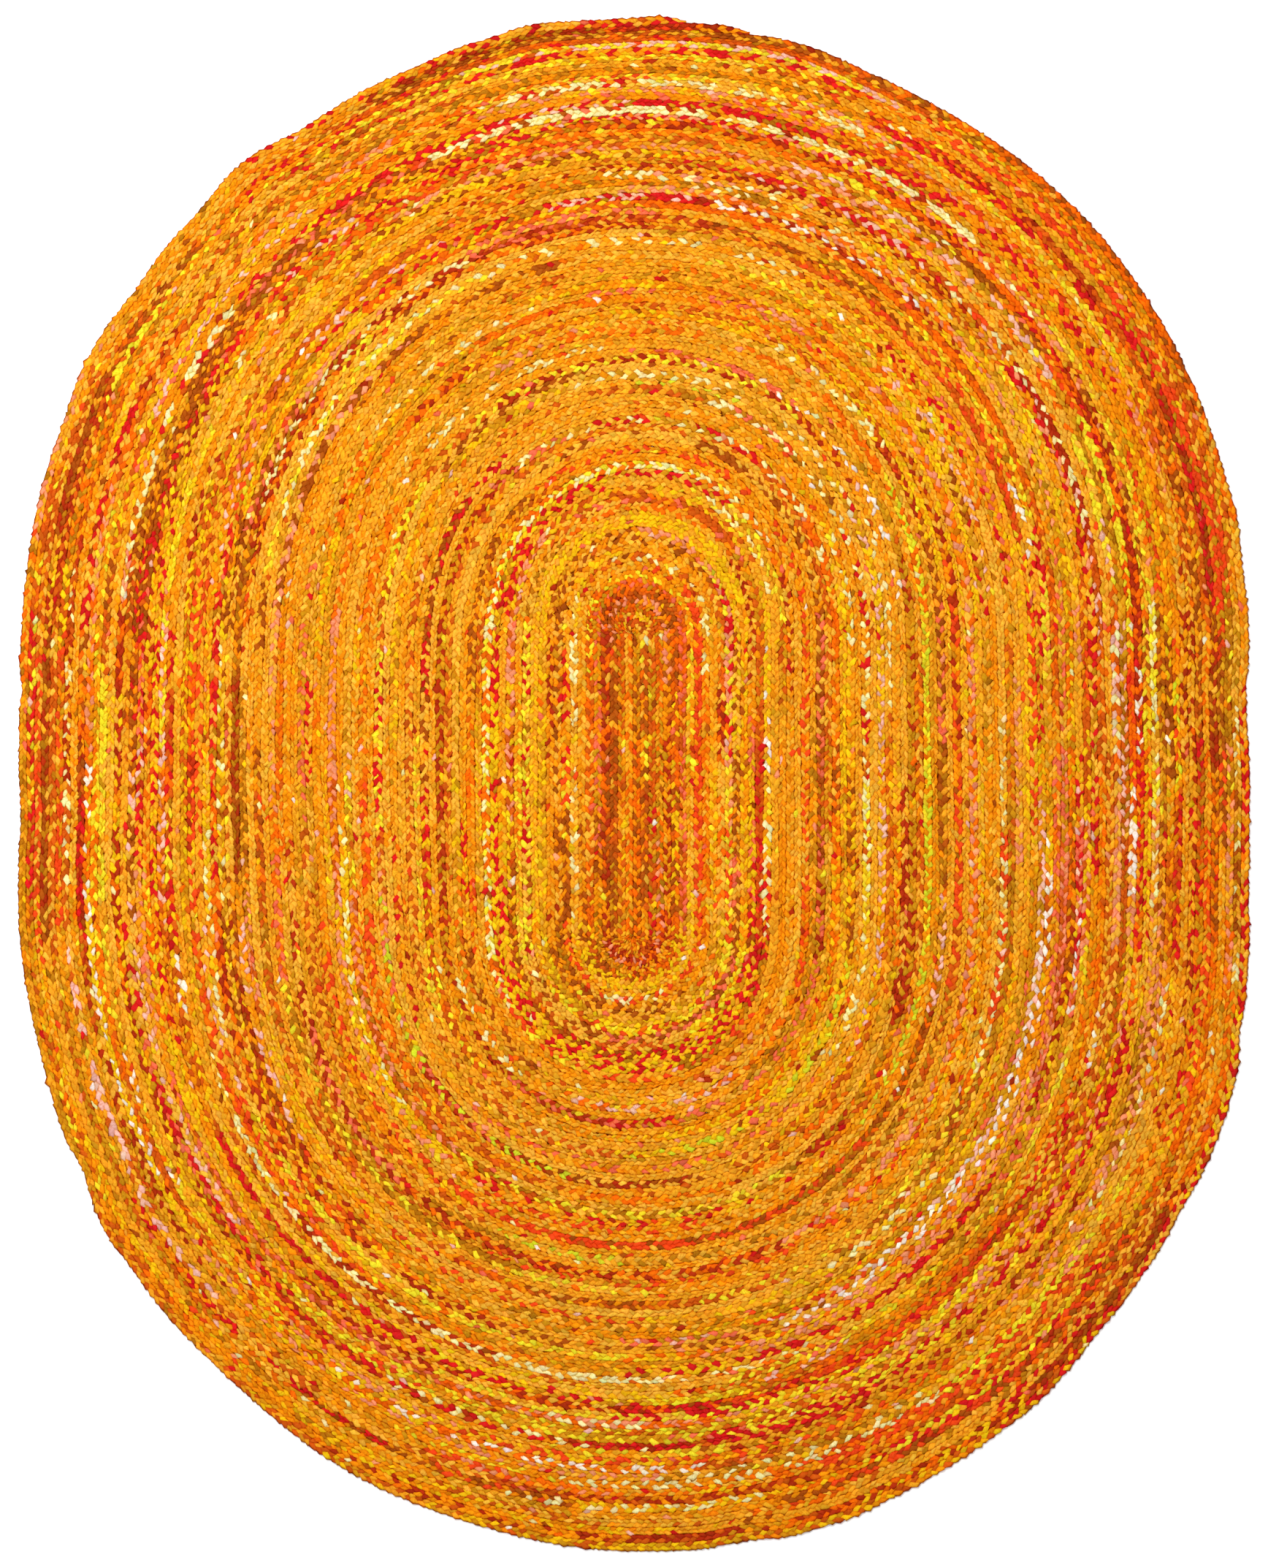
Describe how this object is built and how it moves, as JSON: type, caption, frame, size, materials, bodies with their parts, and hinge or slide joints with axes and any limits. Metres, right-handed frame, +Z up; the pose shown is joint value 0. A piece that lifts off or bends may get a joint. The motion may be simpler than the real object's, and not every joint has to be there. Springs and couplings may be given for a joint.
{
  "type": "braided oval rug",
  "caption": "Oval floor rug: a long plait of cotton rag strips coiled flat and sewn round to round, with the rim curled up at one end.",
  "frame": {"origin": "middle of the flat underside, at floor level", "axes": "+Z up, +Y along the rug's length towards the end with the curled rim, +X across it"},
  "size_m": [2.436, 3.0314, 0.0265],
  "materials": {
    "cotton_rag": "matte plaited cotton rag strips in mixed oranges"
  },
  "bodies": {
    "root": {"braided_rug": "cotton_rag"}
  },
  "joints": []
}
